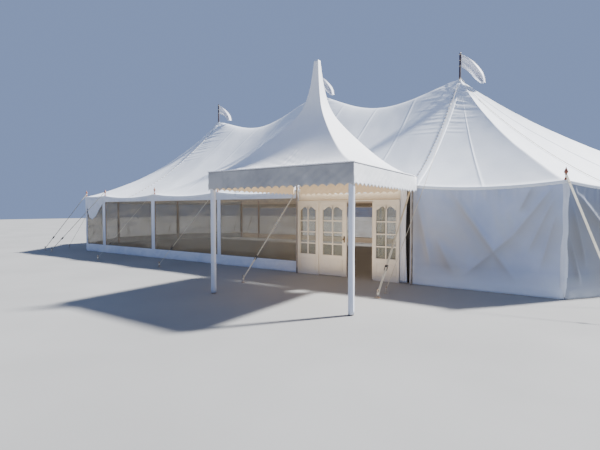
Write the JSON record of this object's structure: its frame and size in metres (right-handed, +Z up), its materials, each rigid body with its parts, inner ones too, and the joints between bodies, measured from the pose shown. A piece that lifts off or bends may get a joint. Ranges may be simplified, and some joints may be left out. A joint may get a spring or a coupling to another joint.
{
  "type": "marquee tent",
  "caption": "Pole marquee with king poles, canvas and clear walls, guys to stakes, a pagoda entrance canopy and a glazed timber door set with hinged leaves.",
  "frame": {"origin": "centre of the foot of the middle king pole, on the ground", "axes": "+X along the front wall to the right, +Y away from the front, +Z up"},
  "size_m": [26.5596, 15.905, 7.61],
  "materials": {
    "canvas": "matte white coated canvas",
    "clear_sheet": "clear flexible window sheet",
    "pole_timber": "varnished reddish timber",
    "king_timber": "varnished dark reddish timber",
    "flag_cloth": "thin white cloth",
    "porch_canvas": "smooth white coated canvas",
    "porch_metal": "satin",
    "door_paint": "satin warm grey paint",
    "glass": "clear pane"
  },
  "bodies": {
    "tent": {"door_frame": "door_paint", "flag_left": "flag_cloth", "flag_middle": "flag_cloth", "flag_right": "flag_cloth", "king_pole_left": "king_timber", "king_pole_middle": "king_timber", "king_pole_right": "king_timber", "porch_canopy": "porch_canvas", "porch_frame": "porch_metal", "roof_left_end": "canvas", "roof_mid_left": "canvas", "roof_mid_right": "canvas", "roof_right_end": "canvas", "side_glass_left": "glass", "side_glass_right": "glass", "side_pole_back_1": "pole_timber", "side_pole_back_2": "pole_timber", "side_pole_back_3": "pole_timber", "side_pole_back_4": "pole_timber", "side_pole_back_5": "pole_timber", "side_pole_back_6": "pole_timber", "side_pole_back_7": "pole_timber", "side_pole_front_1": "pole_timber", "side_pole_front_2": "pole_timber", "side_pole_front_3": "pole_timber", "side_pole_front_4": "pole_timber", "side_pole_front_5": "pole_timber", "side_pole_front_6": "pole_timber", "side_pole_front_7": "pole_timber", "side_pole_left_1": "pole_timber", "side_pole_left_2": "pole_timber", "side_pole_right_1": "pole_timber", "side_pole_right_2": "pole_timber", "wall_back": "canvas", "wall_front_left": "canvas", "wall_front_right": "canvas", "wall_left_1": "canvas", "wall_left_2": "canvas", "wall_left_3": "canvas", "wall_over_doors": "canvas", "wall_right_1": "canvas", "wall_right_2": "canvas", "wall_right_3": "canvas", "window_back": "clear_sheet", "window_front_left": "clear_sheet", "window_left_1": "clear_sheet", "window_left_2": "clear_sheet", "window_left_3": "clear_sheet"},
    "left_leaf": {"door_leaf_left": "door_paint", "door_leaf_left_glass": "glass"},
    "right_leaf": {"door_leaf_right": "door_paint", "door_leaf_right_glass": "glass"}
  },
  "joints": [
    {"name": "left_leaf_hinge", "type": "hinge", "parent": "tent", "child": "left_leaf", "pos_m": [3.158, -5.1363, 0], "axis": [0, 0, 1], "range_deg": [0, 100]},
    {"name": "right_leaf_hinge", "type": "hinge", "parent": "tent", "child": "right_leaf", "pos_m": [4.762, -5.1363, 0], "axis": [0, 0, 1], "range_deg": [-8, 92]}
  ]
}
